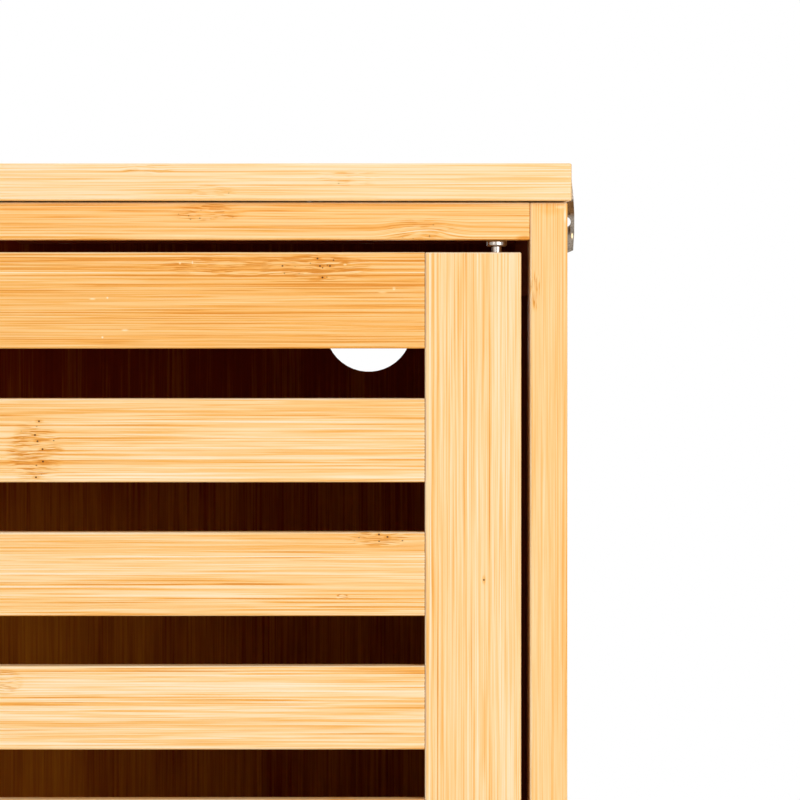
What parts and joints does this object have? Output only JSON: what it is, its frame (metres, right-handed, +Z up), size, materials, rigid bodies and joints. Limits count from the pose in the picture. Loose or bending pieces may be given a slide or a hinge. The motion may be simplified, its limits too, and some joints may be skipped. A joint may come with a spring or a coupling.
{
  "type": "vanity unit",
  "caption": "Free-standing bathroom vanity unit on legs, with slatted pivot-hung doors, an inner shelf and a top board cut out for the basin's trap.",
  "frame": {"origin": "on the floor, at the middle of the rectangle that the whole unit covers, knobs and wall lugs included", "axes": "+Z up, +X to the right as seen from the front, -Y towards the front, where the doors are"},
  "size_m": [0.6902, 0.319, 0.6],
  "materials": {
    "bamboo_pale": "clear satin lacquer",
    "bamboo_honey": "clear satin lacquer",
    "bamboo_amber": "clear satin lacquer",
    "brown_panel": "matt brown stain",
    "dowel_wood": "raw",
    "bright_steel": "bright plated",
    "satin_steel": "satin",
    "zinc_steel": "zinc plated",
    "black_plastic": "matt",
    "magnet_grey": "ground ferrite"
  },
  "bodies": {
    "cabinet": {"top_board": "bamboo_pale", "front_top_rail": "bamboo_amber", "front_bottom_rail": "bamboo_amber", "rear_left_top_rail": "bamboo_amber", "rear_right_top_rail": "bamboo_amber", "rear_bottom_rail": "bamboo_amber", "front_left_post": "bamboo_honey", "front_right_post": "bamboo_honey", "rear_left_post": "bamboo_honey", "rear_right_post": "bamboo_honey", "left_side_top_rail": "bamboo_amber", "right_side_top_rail": "bamboo_amber", "left_side_bottom_rail": "bamboo_amber", "right_side_bottom_rail": "bamboo_amber", "left_side_panel": "bamboo_honey", "right_side_panel": "bamboo_honey", "back_panel": "brown_panel", "bottom_board": "bamboo_honey", "shelf": "bamboo_honey", "shelf_pins": "zinc_steel", "foot_glides": "black_plastic", "wall_lugs": "bright_steel", "wood_screws": "zinc_steel", "frame_bolts": "zinc_steel", "barrel_nuts": "zinc_steel", "dowels": "dowel_wood", "pivot_bushes": "bright_steel", "door_catch": "black_plastic", "catch_magnets": "magnet_grey"},
    "left_door": {"left_door_hinge_stile": "bamboo_honey", "left_door_meeting_stile": "bamboo_honey", "left_door_top_rail": "bamboo_amber", "left_door_bottom_rail": "bamboo_amber", "left_door_slat_1": "bamboo_honey", "left_door_slat_2": "bamboo_honey", "left_door_slat_3": "bamboo_honey", "left_door_slat_4": "bamboo_honey", "left_door_slat_5": "bamboo_honey", "left_door_slat_6": "bamboo_honey", "left_door_slat_7": "bamboo_honey", "left_door_pivot_pins": "bright_steel", "left_door_knob": "satin_steel", "left_door_strike_plate": "bright_steel", "left_door_screws": "zinc_steel"},
    "right_door": {"right_door_hinge_stile": "bamboo_honey", "right_door_meeting_stile": "bamboo_honey", "right_door_top_rail": "bamboo_amber", "right_door_bottom_rail": "bamboo_amber", "right_door_slat_1": "bamboo_honey", "right_door_slat_2": "bamboo_honey", "right_door_slat_3": "bamboo_honey", "right_door_slat_4": "bamboo_honey", "right_door_slat_5": "bamboo_honey", "right_door_slat_6": "bamboo_honey", "right_door_slat_7": "bamboo_honey", "right_door_pivot_pins": "bright_steel", "right_door_knob": "satin_steel", "right_door_strike_plate": "bright_steel", "right_door_screws": "zinc_steel"}
  },
  "joints": [
    {"name": "left_door_hinge", "type": "hinge", "parent": "cabinet", "child": "left_door", "pos_m": [-0.3053, -0.13, 0.33], "axis": [0, 0, -1], "range_deg": [0, 110]},
    {"name": "right_door_hinge", "type": "hinge", "parent": "cabinet", "child": "right_door", "pos_m": [0.3053, -0.13, 0.33], "axis": [0, 0, 1], "range_deg": [0, 110]}
  ]
}
